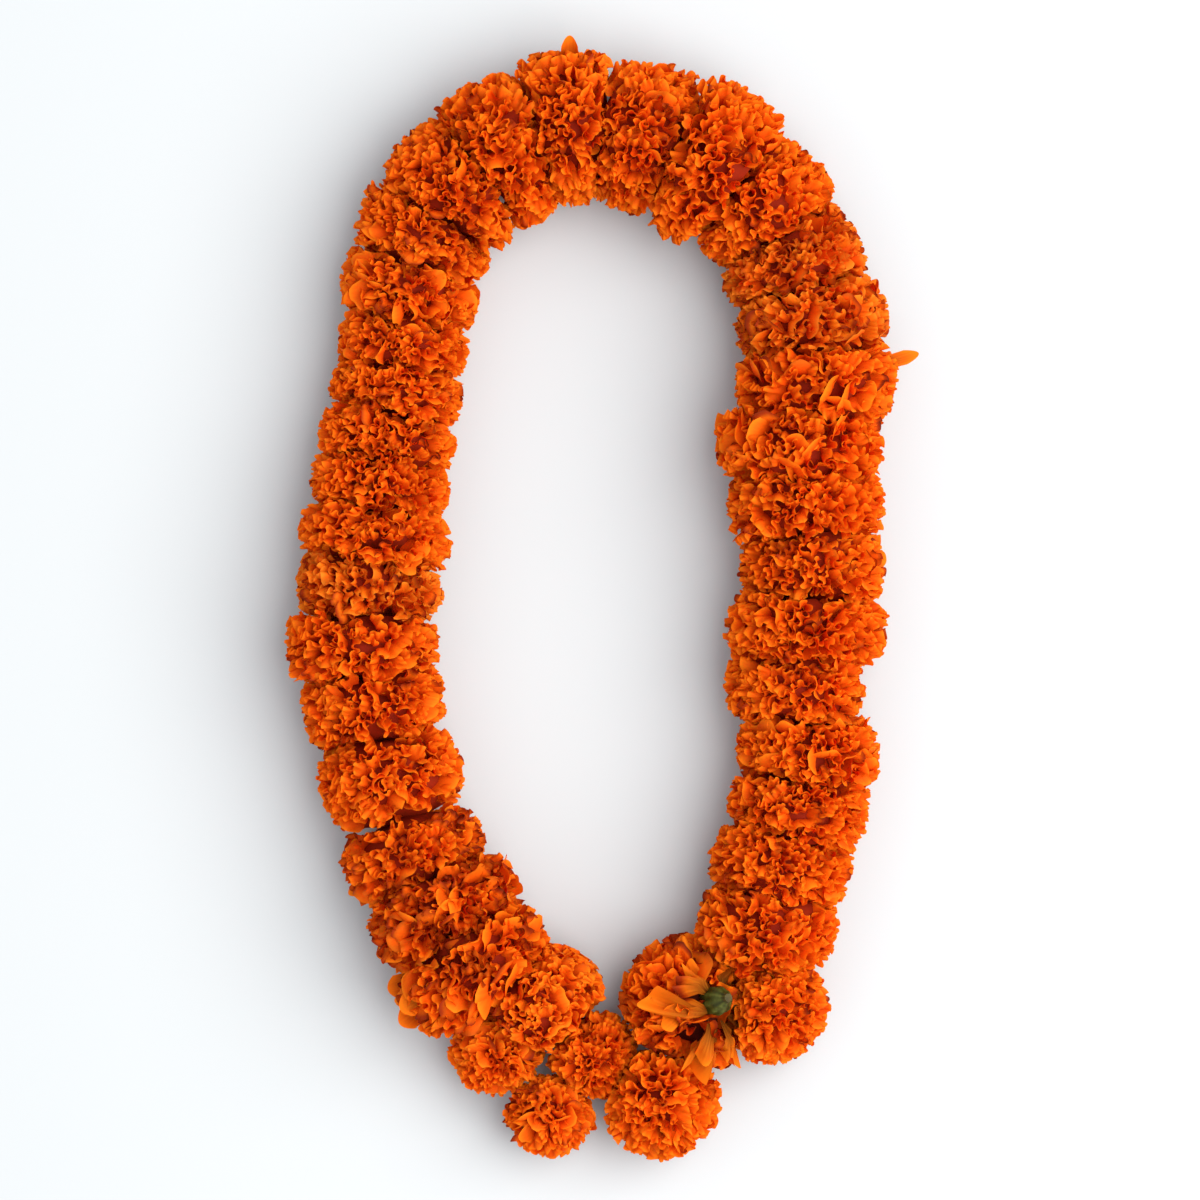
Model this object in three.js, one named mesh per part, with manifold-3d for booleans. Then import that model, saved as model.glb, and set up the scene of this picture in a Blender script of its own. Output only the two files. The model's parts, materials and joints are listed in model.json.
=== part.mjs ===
// A marigold garland: thirty-nine marigold heads strung on one closed cotton thread, lying in a long
// loop on a flat surface. Millimetres, +Z up, the surface at z = 0, the loop's length along Y.
//
// From the knot at the top the heads run down both sides, each with its calyx towards the knot and its
// face towards the tail, pressed hard against the next. At the tail they hang looser and are threaded
// sideways. Every head is one solid: tiers of ruffled petals raised from a core, flattened where it is
// pressed by its neighbours and by the surface.

import * as THREE from 'three';
import { mergeVertices } from 'three/addons/utils/BufferGeometryUtils.js';
import Module from 'manifold-3d';

// ---- driving dimensions -------------------------------------------------------------------------

const GAP = 0.3;                // left between two pieces that touch
const SETTLE = 5;               // how far a head sinks onto the surface, below a full circle
const HEAD_DEPTH = 0.85;        // a free head's depth along its axis, as a share of its width
const PETAL_WIDTH = 20.5;       // one petal along the rim of a tier
const TIER_SPACING = 9.2;       // between the rims of two tiers of petals
const CORE = 0.79;              // where petals part, as a share of the head's radius
const NOTCH = 0.89;             // how far the rim drops between two petals
const SHOULDERS = [0.3, 0.7];   // a petal's two corners, as shares of its width
const PRESSED = 0.93;           // petals lie flat together where something is nearer than this
const RUFFLE = 0.24;            // how far petal corners swing along the axis, as a share of a tier
const UNEVEN_RUFFLE = 0.4;      // how much one corner's swing differs from the next, as a share of it
const SHORTEST = 0.975;         // the shortest petal's reach, as a share of the head's radius
const REACH_SPREAD = 0.06;      // and how much further the longest reaches

// Angles round a head, from the pole of its back or its face.
const FIRST_TIER = THREE.MathUtils.degToRad(5);    // between the edge of a pressed end and the first rim
const NARROWEST = THREE.MathUtils.degToRad(12);    // the least span of the tiers, inside a bend
const BACK_CAP = THREE.MathUtils.degToRad(26);     // left bare round the calyx
const FACE_CAP = THREE.MathUtils.degToRad(22);     // left bare in the middle of a free face
const EDGE_STEP = THREE.MathUtils.degToRad(1);
const POLE_SHARE = 0.95;        // how far the middle of a free face reaches, as a share of its form

const THREAD_RADIUS = 0.9;
const BORE_RADIUS = 1.5;
const BORE_SIDES = 7;
const THREAD_SIDES = 6;
const KNOT_RADIUS = 2.1;
const KNOT_HALF_LENGTH = 2.4;
const TAIL_STEPS = 34;

const CALYX_RADIUS = 6;
const CALYX_STEM_RADIUS = 3.4;
const CALYX_SIDES = 8;
const CALYX_SHOULDER = { radius: 0.93, along: 0.35 };   // as shares of its radius and its length
const SOCKET_DEPTH = 8;
const SOCKET_FLARE = 0.2;

// ---- where the heads lie ------------------------------------------------------------------------

const KNOT = new THREE.Vector3(2, 211, 30);

// Heads threaded through their middles, from the knot to the tail: x, y, width across the petals.
const LEFT_STRAND = [
  [-13, 212, 72], [-41, 201, 72], [-65, 182, 69], [-78, 162, 65], [-85, 137, 65],
  [-87, 114, 61], [-90, 93, 62], [-95, 72, 64], [-98, 50, 66], [-100, 28, 70],
  [-103, 4, 67], [-106, -21, 72], [-101, -47, 67], [-93, -80, 68],
  [-83, -115, 68], [-69, -140, 73], [-57, -164, 77], [-27, -181, 66],
];
const RIGHT_STRAND = [
  [20, 207, 71], [51, 194, 78], [75, 175, 68], [87, 150, 66], [96, 124, 71],
  [97, 96, 74], [90, 68, 77], [93, 42, 74], [96, 15, 67], [93, -15, 74],
  [89, -40, 66], [94, -68, 66], [90, -95, 66], [82, -120, 66], [76, -146, 66],
];

// Loose heads at the tail, threaded sideways: middle, width, and the way that the face looks.
const LOOSE_HEADS = {
  left: [
    { at: [-45, -203, 23], across: 46, faces: [-0.25, -0.2, 1] },
    { at: [-21, -232, 23], across: 43, faces: [0.1, -0.5, 1] },
    { at: [-2, -206, 24], across: 47, faces: [0.2, 0.1, 1] },
  ],
  right: [
    { at: [79, -185, 26], across: 54, faces: [0.5, -0.6, 0.7] },
    { at: [41, -183, 25], across: 68, faces: [-0.5, -0.15, -0.85] },
    { at: [28, -225, 27], across: 57, faces: [0.05, -0.3, 1] },
  ],
};

// The thread between the last strung head on the left and the last on the right.
const THREAD_TAIL = [
  [-27, -190, 25], [-41, -201, 25], [-33, -216, 23], [-20, -230, 24], [-10, -219, 24],
  [-1, -209, 25], [9, -217, 24], [25, -223, 27], [37, -206, 25], [46, -188, 24],
  [62, -181, 25], [77, -174, 27], [75, -162, 28],
];

// Petals that reach far beyond their head: which head, the way they point, and how far they reach.
const LONG_PETALS = [
  { bloom: 'bloom_left_01', towards: [0.01, 1, 0.2], reach: 41 },
  { bloom: 'bloom_right_06', towards: [0.94, 0.28, 0.1], reach: 49 },
  { bloom: 'bloom_left_15', towards: [0.6, 0.85, 0.1], reach: 36 },
  { bloom: 'bloom_left_17', towards: [-0.95, -0.3, -0.1], reach: 41 },
  { bloom: 'bloom_left_17', towards: [-0.76, -0.65, -0.1], reach: 42 },
  { bloom: 'bloom_left_17', towards: [-0.35, -0.92, -0.1], reach: 39 },
];

// Heads whose green calyx can be seen: how far the petals end from the joint at its stem, and how far
// the calyx stands out of them. Two are sunk in their petals, which leaves room for the knot.
const OPEN_CALYX = {
  bloom_left_01: { clear: 1.2, standsOut: -1.8 },
  bloom_right_01: { clear: 1.2, standsOut: -1.8 },
  bloom_left_15: { clear: 3.2, standsOut: 2.9 },
  bloom_left_19: { clear: 0, standsOut: 4 },
  bloom_left_20: { clear: 0, standsOut: 4 },
  bloom_left_21: { clear: 0, standsOut: 4 },
  bloom_right_16: { clear: 0, standsOut: -2 },
  bloom_right_17: { clear: 0, standsOut: 7 },
  bloom_right_18: { clear: 0, standsOut: 4 },
};
const WITHERED = ['bloom_left_11', 'bloom_right_04', 'bloom_right_05'];

// ---- materials ----------------------------------------------------------------------------------

const PETAL = new THREE.MeshStandardMaterial({ color: 0xe0560f, roughness: 0.75, metalness: 0 });
const WITHERED_PETAL = new THREE.MeshStandardMaterial({ color: 0xd07016, roughness: 0.8, metalness: 0 });
const CALYX = new THREE.MeshStandardMaterial({ color: 0x4f6423, roughness: 0.6, metalness: 0 });
const THREAD = new THREE.MeshStandardMaterial({ color: 0xe9e2cf, roughness: 0.85, metalness: 0 });

// ---- rings of points, and the skins between them ------------------------------------------------

const TURN = 2 * Math.PI;
const vector = ([x, y, z]) => new THREE.Vector3(x, y, z);

function seededRandom(seed) {
  let state = seed * 2654435761 % 4294967296;
  return () => {
    state = (state * 1664525 + 1013904223) % 4294967296;
    return state / 4294967296;
  };
}

// A ring is a list of { angle, point } in order of angle round an axis.
function ringOf(count, phase, pointAt) {
  const ring = [];
  for (let i = 0; i < count; i += 1) {
    const angle = (i + phase) / count * TURN;
    ring.push({ angle, point: pointAt(angle, i) });
  }
  return ring;
}

// Joins two rings of any counts with triangles, always taking the nearer next corner.
function stitch(lower, upper, triangles) {
  const first = lower[0].angle;
  const offset = (ring) => {
    let start = 0;
    ring.forEach((corner, i) => {
      if (Math.abs(corner.angle - first) < Math.abs(ring[start].angle - first)) start = i;
    });
    return start;
  };
  const start = offset(upper);
  const angleOf = (ring, from, i) => {
    const index = from + i;
    return ring[index % ring.length].angle + Math.floor(index / ring.length) * TURN;
  };
  const corner = (ring, from, i) => ring[(from + i) % ring.length].point;
  let low = 0;
  let high = 0;
  while (low < lower.length || high < upper.length) {
    const nextLow = low < lower.length ? angleOf(lower, 0, low + 1) : Infinity;
    const nextHigh = high < upper.length ? angleOf(upper, start, high + 1) : Infinity;
    const a = corner(lower, 0, low);
    const b = corner(upper, start, high);
    if (nextLow <= nextHigh) {
      low += 1;
      triangles.push(a, corner(lower, 0, low), b);
    } else {
      high += 1;
      triangles.push(a, corner(upper, start, high), b);
    }
  }
}

function fan(ring, tip, triangles, tipAbove) {
  ring.forEach((corner, i) => {
    const next = ring[(i + 1) % ring.length];
    if (tipAbove) triangles.push(corner.point, next.point, tip);
    else triangles.push(next.point, corner.point, tip);
  });
}

// A solid's surface from rings stacked along its axis. A bored solid's last ring joins its first.
function surface(rings, { bottom, top } = {}) {
  const triangles = [];
  for (let i = 0; i + 1 < rings.length; i += 1) stitch(rings[i], rings[i + 1], triangles);
  if (bottom) {
    fan(rings[0], bottom, triangles, false);
    fan(rings[rings.length - 1], top, triangles, true);
  } else {
    stitch(rings[rings.length - 1], rings[0], triangles);
  }
  const geometry = new THREE.BufferGeometry().setFromPoints(triangles);
  return mergeVertices(geometry, 1e-4);
}

// ---- half-spaces that press on a head -----------------------------------------------------------

const SURFACE = { point: new THREE.Vector3(0, 0, 0), normal: new THREE.Vector3(0, 0, -1) };

function distanceToWall(wall, origin, direction) {
  const towards = direction.dot(wall.normal);
  if (towards < 1e-6) return Infinity;
  return wall.point.clone().sub(origin).dot(wall.normal) / towards;
}

function distanceToWalls(walls, origin, direction) {
  return Math.min(...walls.map((wall) => distanceToWall(wall, origin, direction)));
}

function wallBetween(point, normal) {
  return { point: point.clone().addScaledVector(normal, -GAP / 2), normal };
}

const wallsOf = (bloom) => [...bloom.ends, ...bloom.sides, SURFACE];

// ---- a marigold head ----------------------------------------------------------------------------

// How far the head's rounded form reaches from a point inside it.
function reachOfForm(bloom, direction) {
  const offset = bloom.centre.clone().sub(bloom.middle);
  const half = bloom.radius * HEAD_DEPTH;
  const across = 1 / bloom.radius ** 2;
  const along = 1 / half ** 2 - across;
  const quadratic = across + along * direction.dot(bloom.axis) ** 2;
  const linear = across * offset.dot(direction) + along * offset.dot(bloom.axis) * direction.dot(bloom.axis);
  const constant = across * offset.lengthSq() + along * offset.dot(bloom.axis) ** 2 - 1;
  return (-linear + Math.sqrt(linear ** 2 - quadratic * constant)) / quadratic;
}

function reachFromMiddle(bloom, direction) {
  return reachOfForm({ ...bloom, centre: bloom.middle }, direction);
}

// A head's own frame: two directions across its axis.
function directionsAcross(axis) {
  const across = new THREE.Vector3(-axis.y, axis.x, 0).normalize();
  return { across, upward: axis.clone().cross(across) };
}

function headGeometry(bloom) {
  const { centre, axis, radius, random } = bloom;
  const walls = wallsOf(bloom);
  const { across, upward } = directionsAcross(axis);
  const directionAt = (polar, angle) => across.clone().multiplyScalar(Math.cos(angle) * Math.sin(polar))
    .addScaledVector(upward, Math.sin(angle) * Math.sin(polar))
    .addScaledVector(axis, -Math.cos(polar));
  const pointAt = (direction, share) => {
    const form = reachOfForm(bloom, direction);
    const limit = distanceToWalls(walls, centre, direction);
    const pressed = share === CORE && limit < form * PRESSED;
    return centre.clone().addScaledVector(direction, pressed ? limit : Math.min(form * share, limit));
  };

  // The angle from the back's or the face's pole at which the head stops being pressed flat.
  const edgeAt = (angle, atFace, share, cap) => {
    let polar = Math.PI / 2;
    for (; polar > cap; polar -= EDGE_STEP) {
      const direction = directionAt(atFace ? Math.PI - polar : polar, angle);
      if (distanceToWalls(bloom.ends, centre, direction) < reachOfForm(bloom, direction) * share) break;
    }
    return polar;
  };
  const rimsAt = (angle) => {
    const first = edgeAt(angle, false, 1, BACK_CAP) + FIRST_TIER;
    const last = Math.PI - edgeAt(angle, true, 1, FACE_CAP) - FIRST_TIER;
    const half = Math.max((last - first) / 2, NARROWEST / 2);
    const middle = (first + last) / 2;
    return { first: middle - half, span: 2 * half };
  };
  const spans = Array.from({ length: 8 }, (_, i) => rimsAt(i / 8 * TURN).span);
  const meanSpan = spans.reduce((sum, span) => sum + span, 0) / spans.length;
  const tiers = Math.max(3, Math.round(radius * meanSpan / TIER_SPACING) + 1);
  const petals = Math.round(TURN * radius / PETAL_WIDTH);
  const polarAt = (angle, tier) => {
    const { first, span } = rimsAt(angle);
    return first + tier * span / (tiers - 1);
  };
  const turn = turnOfHead(bloom, petals);

  const valleyRing = (tier, phase) => ringOf(petals, phase + turn, (angle) => {
    let polar = polarAt(angle, tier);
    if (tier < 0) polar = Math.min(polar, edgeAt(angle, false, CORE, BACK_CAP));
    if (tier > tiers - 1) polar = Math.max(polar, Math.PI - edgeAt(angle, true, CORE, FACE_CAP));
    return pointAt(directionAt(polar, angle), CORE);
  });
  const rimCorner = (tier, angle, share, sway) => {
    const ruffled = tier + (sway + (2 * random() - 1) * UNEVEN_RUFFLE) * RUFFLE;
    const direction = directionAt(polarAt(angle, ruffled), angle);
    return { angle, point: pointAt(direction, share * (SHORTEST + REACH_SPREAD * random())) };
  };
  const rimRing = (tier, phase) => Array.from({ length: petals }, (_, petal) => {
    const angleAt = (along) => (petal + phase + turn + along) / petals * TURN;
    const swing = random() < 0.5 ? 1 : -1;
    return [
      rimCorner(tier, angleAt(0), NOTCH, 0),
      rimCorner(tier, angleAt(SHOULDERS[0]), 1, swing),
      rimCorner(tier, angleAt(SHOULDERS[1]), 1, -swing),
    ];
  }).flat();

  const rings = [valleyRing(-0.5, 0)];
  for (let tier = 0; tier < tiers; tier += 1) {
    const phase = tier % 2 / 2;
    rings.push(rimRing(tier, phase));
    rings.push(valleyRing(tier + 0.5, phase));
  }
  lengthenPetals(bloom, rings);

  // Round the axis: the socket that holds the calyx, and the bore for the thread.
  const depthTo = (start, direction) => Math.min(
    distanceToWalls(walls, start, direction),
    reachOfForm(bloom, direction) * POLE_SHARE,
  );
  const ringRoundAxis = (ringRadius, sides, along) => ringOf(sides, 0, (angle) => {
    const start = centre.clone().addScaledVector(across, ringRadius * Math.cos(angle))
      .addScaledVector(upward, ringRadius * Math.sin(angle));
    const distance = along(start);
    return start.addScaledVector(axis, distance);
  });
  const backAt = (start) => -depthTo(start, axis.clone().negate());
  const faceAt = (start) => depthTo(start, axis);
  let floorAt = backAt;
  if (bloom.calyx) {
    const socketFloor = -bloom.backDepth + SOCKET_DEPTH;
    floorAt = () => socketFloor;
    rings.unshift(
      ringRoundAxis(CALYX_RADIUS + GAP, CALYX_SIDES, floorAt),
      ringRoundAxis(CALYX_RADIUS + GAP + SOCKET_FLARE, CALYX_SIDES, backAt),
    );
  }
  if (bloom.pierced) {
    return surface(rings, {
      bottom: centre.clone().addScaledVector(axis, floorAt(centre)),
      top: centre.clone().addScaledVector(axis, faceAt(centre)),
    });
  }
  return surface([
    ringRoundAxis(BORE_RADIUS, BORE_SIDES, floorAt),
    ...rings,
    ringRoundAxis(BORE_RADIUS, BORE_SIDES, faceAt),
  ]);
}

// How far a head's petals are turned round its axis, from 0 to 1 petal. A long petal sets it its way.
function turnOfHead(bloom, petals) {
  const long = LONG_PETALS.find((petal) => petal.bloom === bloom.name);
  if (!long) return bloom.random();
  const towards = vector(long.towards);
  const { across, upward } = directionsAcross(bloom.axis);
  const angle = Math.atan2(towards.dot(upward), towards.dot(across));
  return THREE.MathUtils.euclideanModulo(angle / TURN * petals - SHOULDERS[0], 1);
}

// Draws out the petal corner that points nearest to the way of each long petal.
function lengthenPetals(bloom, rings) {
  for (const petal of LONG_PETALS.filter((long) => long.bloom === bloom.name)) {
    const towards = vector(petal.towards).normalize();
    const aim = (corner) => corner.point.clone().sub(bloom.middle).normalize().dot(towards);
    const corners = rings.flat();
    const tip = corners.reduce((best, corner) => (aim(corner) > aim(best) ? corner : best));
    const drawn = bloom.middle.clone().addScaledVector(towards, petal.reach).sub(bloom.centre);
    const direction = drawn.clone().normalize();
    const limit = distanceToWalls(wallsOf(bloom), bloom.centre, direction);
    tip.point.copy(bloom.centre).addScaledVector(direction, Math.min(drawn.length(), limit));
  }
}

// ---- a calyx: the green cup that holds the petals -----------------------------------------------

function calyxGeometry(bloom) {
  const { axis, centre } = bloom;
  const { across, upward } = directionsAcross(axis);
  const top = -bloom.backDepth + SOCKET_DEPTH - GAP;
  const stem = -bloom.backDepth - OPEN_CALYX[bloom.name].standsOut;
  const ring = (ringRadius, along, sides = CALYX_SIDES) => ringOf(sides, 0, (angle) => (
    centre.clone().addScaledVector(across, ringRadius * Math.cos(angle))
      .addScaledVector(upward, ringRadius * Math.sin(angle))
      .addScaledVector(axis, along)
  ));
  const outside = [
    ring(CALYX_STEM_RADIUS, stem),
    ring(CALYX_RADIUS * CALYX_SHOULDER.radius, stem + CALYX_SHOULDER.along * (top - stem)),
    ring(CALYX_RADIUS, top),
  ];
  if (bloom.pierced) {
    return surface(outside, {
      bottom: centre.clone().addScaledVector(axis, stem),
      top: centre.clone().addScaledVector(axis, top),
    });
  }
  return surface([
    ring(BORE_RADIUS, stem, BORE_SIDES),
    ...outside,
    ring(BORE_RADIUS, top, BORE_SIDES),
  ]);
}

// ---- the thread ---------------------------------------------------------------------------------

// A closed tube along a loop of points, mitred at each point.
function loopedTube(points, radiusAt) {
  const rings = points.map((point, i) => {
    const before = points[(i + points.length - 1) % points.length];
    const after = points[(i + 1) % points.length];
    const incoming = point.clone().sub(before).normalize();
    const outgoing = after.clone().sub(point).normalize();
    const along = incoming.clone().add(outgoing).normalize();
    const sideways = new THREE.Vector3(along.y, -along.x, 0).normalize();
    const upright = along.clone().cross(sideways);
    const mitre = 1 / along.dot(incoming);
    return ringOf(THREAD_SIDES, 0, (angle) => point.clone()
      .addScaledVector(sideways, radiusAt(i) * mitre * Math.cos(angle))
      .addScaledVector(upright, radiusAt(i) * Math.sin(angle)));
  });
  return surface(rings);
}

// ---- cutting the thread's way through heads that are threaded sideways ---------------------------

const wasm = await Module();
wasm.setup();

function solidOf(geometry) {
  const merged = mergeVertices(geometry, 1e-4);
  return new wasm.Manifold(new wasm.Mesh({
    numProp: 3,
    vertProperties: new Float32Array(merged.attributes.position.array),
    triVerts: new Uint32Array(merged.index.array),
  }));
}

function geometryOf(solid) {
  const mesh = solid.getMesh();
  const geometry = new THREE.BufferGeometry();
  geometry.setAttribute('position', new THREE.BufferAttribute(mesh.vertProperties, 3));
  geometry.setIndex(new THREE.BufferAttribute(mesh.triVerts, 1));
  return geometry;
}

// ---- the garland --------------------------------------------------------------------------------

const named = (side, index) => `bloom_${side}_${String(index + 1).padStart(2, '0')}`;

const middlesOf = (strand) => strand.map(([x, y, across]) => new THREE.Vector3(x, y, across / 2 - SETTLE));
const wayFrom = (joints, i) => joints[i + 1].clone().sub(joints[i]).normalize();

// The thread's joints down one side: the knot, a point between each two heads, and the tail.
function jointsOf(strand, tailJoint) {
  const middles = middlesOf(strand);
  const between = middles.slice(1).map((middle, i) => middle.clone().lerp(middles[i], 0.5));
  return [KNOT, ...between, tailJoint];
}

// The strung heads of one side. Each is bored from one joint of the thread to the next, and meets the
// heads before and after it in planes that halve the thread's bends.
function strungBlooms(side, strand, joints, wayToKnot) {
  return middlesOf(strand).map((middle, i) => {
    const name = named(side, i);
    const axis = wayFrom(joints, i);
    const before = i > 0 ? wayFrom(joints, i - 1) : wayToKnot;
    const from = joints[i].clone().addScaledVector(axis, OPEN_CALYX[name]?.clear ?? 0);
    const ends = [wallBetween(from, axis.clone().add(before).negate().normalize())];
    if (i + 1 < strand.length) {
      const after = wayFrom(joints, i + 1);
      ends.push(wallBetween(joints[i + 1], axis.clone().add(after).normalize()));
    }
    return {
      name,
      axis,
      ends,
      sides: [],
      radius: strand[i][2] / 2,
      middle,
      centre: from.clone().lerp(joints[i + 1], 0.5),
      calyx: name in OPEN_CALYX,
      strung: true,
      pierced: i === strand.length - 1,
    };
  });
}

function looseBlooms(side, strungCount) {
  return LOOSE_HEADS[side].map((head, i) => {
    const middle = vector(head.at);
    return {
      name: named(side, strungCount + i),
      axis: vector(head.faces).normalize(),
      ends: [],
      sides: [],
      radius: head.across / 2,
      middle,
      centre: middle.clone(),
      calyx: true,
      strung: false,
      pierced: true,
    };
  });
}

const tail = THREAD_TAIL.map(vector);
const leftJoints = jointsOf(LEFT_STRAND, tail[0]);
const rightJoints = jointsOf(RIGHT_STRAND, tail[tail.length - 1]);
const chain = [
  ...strungBlooms('left', LEFT_STRAND, leftJoints, wayFrom(rightJoints, 0).negate()),
  ...looseBlooms('left', LEFT_STRAND.length),
  ...looseBlooms('right', RIGHT_STRAND.length).reverse(),
  ...strungBlooms('right', RIGHT_STRAND, rightJoints, wayFrom(leftJoints, 0).negate()).reverse(),
];

// Heads that are near each other but not strung face to back part along a plane between them.
chain.forEach((bloom, i) => chain.slice(i + 1).forEach((other, j) => {
  if (j === 0 && bloom.strung && other.strung) return;
  const normal = other.middle.clone().sub(bloom.middle);
  const distance = normal.length();
  normal.normalize();
  const reach = reachFromMiddle(bloom, normal);
  const otherReach = reachFromMiddle(other, normal.clone().negate());
  if (distance > reach + otherReach + 1) return;
  const meeting = bloom.middle.clone().addScaledVector(normal, distance * reach / (reach + otherReach));
  bloom.sides.push(wallBetween(meeting, normal));
  other.sides.push(wallBetween(meeting, normal.clone().negate()));
}));

const loop = [
  KNOT,
  ...leftJoints.slice(1, -1),
  ...new THREE.CatmullRomCurve3(tail).getPoints(TAIL_STEPS),
  ...rightJoints.slice(1, -1).reverse(),
];
const threadWay = solidOf(loopedTube(loop, () => BORE_RADIUS));

// The thread runs from one end of the knot round to the other, and is thickest at both.
const fromKnot = (other, distance) => KNOT.clone().lerp(other, distance / KNOT.distanceTo(other));
const knotEnd = (other) => [fromKnot(other, KNOT_HALF_LENGTH / 2), fromKnot(other, KNOT_HALF_LENGTH)];
const threadPoints = [
  ...knotEnd(loop[1]),
  ...loop.slice(1),
  ...knotEnd(loop[loop.length - 1]).reverse(),
];
const inKnot = (i) => i === 0 || i === threadPoints.length - 1;

const garland = new THREE.Group();

function addPiece(name, geometry, material) {
  const mesh = new THREE.Mesh(geometry, material);
  mesh.name = name;
  garland.add(mesh);
}

chain.forEach((bloom, i) => {
  bloom.random = seededRandom(i + 1);
  const back = bloom.axis.clone().negate();
  bloom.backDepth = Math.min(
    distanceToWalls(wallsOf(bloom), bloom.centre, back),
    reachOfForm(bloom, back) * POLE_SHARE,
  );
  const place = (geometry) => (bloom.pierced ? geometryOf(solidOf(geometry).subtract(threadWay)) : geometry);
  const petalMaterial = WITHERED.includes(bloom.name) ? WITHERED_PETAL : PETAL;
  addPiece(bloom.name, place(headGeometry(bloom)), petalMaterial);
  if (bloom.calyx) addPiece(bloom.name.replace('bloom', 'calyx'), place(calyxGeometry(bloom)), CALYX);
});

addPiece('thread', loopedTube(threadPoints, (i) => (inKnot(i) ? KNOT_RADIUS : THREAD_RADIUS)), THREAD);

// The origin is the middle of the garland, on the surface.
const box = new THREE.Box3().setFromObject(garland);
const middleOfBox = box.getCenter(new THREE.Vector3());
garland.position.set(-middleOfBox.x, -middleOfBox.y, 0);
garland.updateMatrixWorld(true);

export default garland;
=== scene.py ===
"""Dresses a marigold garland with petals, calyxes and a cotton thread, and sets its stage."""

import json
import math

import bmesh
import bpy
import numpy as np
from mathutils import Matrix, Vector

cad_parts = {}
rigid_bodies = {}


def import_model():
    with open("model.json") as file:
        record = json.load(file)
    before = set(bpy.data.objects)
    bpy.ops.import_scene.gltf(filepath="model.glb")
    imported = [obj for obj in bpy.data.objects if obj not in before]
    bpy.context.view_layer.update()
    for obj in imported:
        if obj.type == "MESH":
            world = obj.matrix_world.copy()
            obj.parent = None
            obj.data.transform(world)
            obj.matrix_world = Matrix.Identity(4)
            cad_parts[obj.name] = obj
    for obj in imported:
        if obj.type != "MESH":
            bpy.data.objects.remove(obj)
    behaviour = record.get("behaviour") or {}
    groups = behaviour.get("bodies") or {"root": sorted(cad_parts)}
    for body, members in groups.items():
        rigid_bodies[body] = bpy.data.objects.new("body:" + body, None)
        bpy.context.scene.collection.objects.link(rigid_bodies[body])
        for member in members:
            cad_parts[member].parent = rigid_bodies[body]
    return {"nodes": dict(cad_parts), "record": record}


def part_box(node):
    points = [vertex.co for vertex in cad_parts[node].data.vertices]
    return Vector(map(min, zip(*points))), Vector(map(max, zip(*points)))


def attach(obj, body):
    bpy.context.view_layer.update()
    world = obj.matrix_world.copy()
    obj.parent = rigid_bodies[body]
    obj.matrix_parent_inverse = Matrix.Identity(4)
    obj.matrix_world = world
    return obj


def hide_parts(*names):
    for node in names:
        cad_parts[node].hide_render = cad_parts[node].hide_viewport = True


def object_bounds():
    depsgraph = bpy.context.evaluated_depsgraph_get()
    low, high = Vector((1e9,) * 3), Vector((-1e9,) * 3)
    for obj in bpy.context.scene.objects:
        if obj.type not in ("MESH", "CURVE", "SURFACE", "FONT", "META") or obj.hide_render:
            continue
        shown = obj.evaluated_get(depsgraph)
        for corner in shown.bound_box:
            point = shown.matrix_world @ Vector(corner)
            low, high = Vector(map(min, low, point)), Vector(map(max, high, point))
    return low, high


bl_info = {
    "name": "Marigold Garland",
    "version": (1, 0, 0),
    "blender": (4, 5, 0),
    "location": "View3D > Sidebar > Garland",
    "description": "Dresses a garland of marigold heads with ruffled petals and sets its stage",
    "category": "Object",
}

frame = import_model()
CAD_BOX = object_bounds()

STRUNG = {"left": 18, "right": 15}       # heads threaded through their middles, on each side of the knot

# Heads with long petals: how many, and their half widths at neck and end beside a petal's width.
LONG_PETALS = {
    "bloom_left_01": (1, 0.62, 0.3),
    "bloom_left_15": (1, 0.26, 0.24),
    "bloom_left_17": (3, 0.3, 0.46),
    "bloom_right_06": (1, 0.15, 0.27),
}
# Heads seen from behind: how many outer petals, the degrees from the axis between which they lie, and
# the share of the ruffled petals that is left out there.
BACK_PETALS = {"bloom_right_17": (20, 164, 96, 0.6)}

# Heads with broad petals among the others, and how many of the petal shapes are broad.
BROAD_HEADS = {"bloom_left_05", "bloom_left_06", "bloom_left_16", "bloom_left_17", "bloom_left_19",
               "bloom_left_20", "bloom_right_05", "bloom_right_06", "bloom_right_07", "bloom_right_12",
               "bloom_right_17"}
BROAD_SHAPES = 4

# The share of dried petals in a head, and in a head that isn't named.
DRIED = {
    "bloom_left_11": 0.3, "bloom_left_15": 0.45, "bloom_left_16": 0.6, "bloom_left_17": 0.45,
    "bloom_right_04": 0.3, "bloom_right_05": 0.3, "bloom_right_17": 0.4,
}
FEW_DRIED = 0.1

# How far a head's petals spread past the walls before and after them, how much of the corners they fill,
# and how far they stand out.
USUAL_FIT = (0.0008, 0.0008, 0.9, 0.0018)
FITS = {
    "bloom_left_01": (0.0034, 0.0008, 0.95, 0.0018),
    "bloom_left_14": (0.0008, 0.0034, 0.35, 0.0012),
    "bloom_left_15": (0.0016, 0.0008, 0.4, 0.0018),
    "bloom_left_16": (0.0008, 0.0008, 0.9, 0.004),
    "bloom_left_17": (0.0008, 0.0008, 0.9, 0.004),
    "bloom_left_18": (0.0008, 0.0008, 0.5, -0.003),
    "bloom_left_19": (0.0008, 0.0008, 0.9, 0.0046),
    "bloom_left_20": (0.0008, 0.0008, 0.9, 0.003),
    "bloom_left_21": (0.0008, 0.0008, 0.9, 0.0042),
    "bloom_right_01": (0.0034, 0.0008, 0.95, 0.0018),
}
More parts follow.
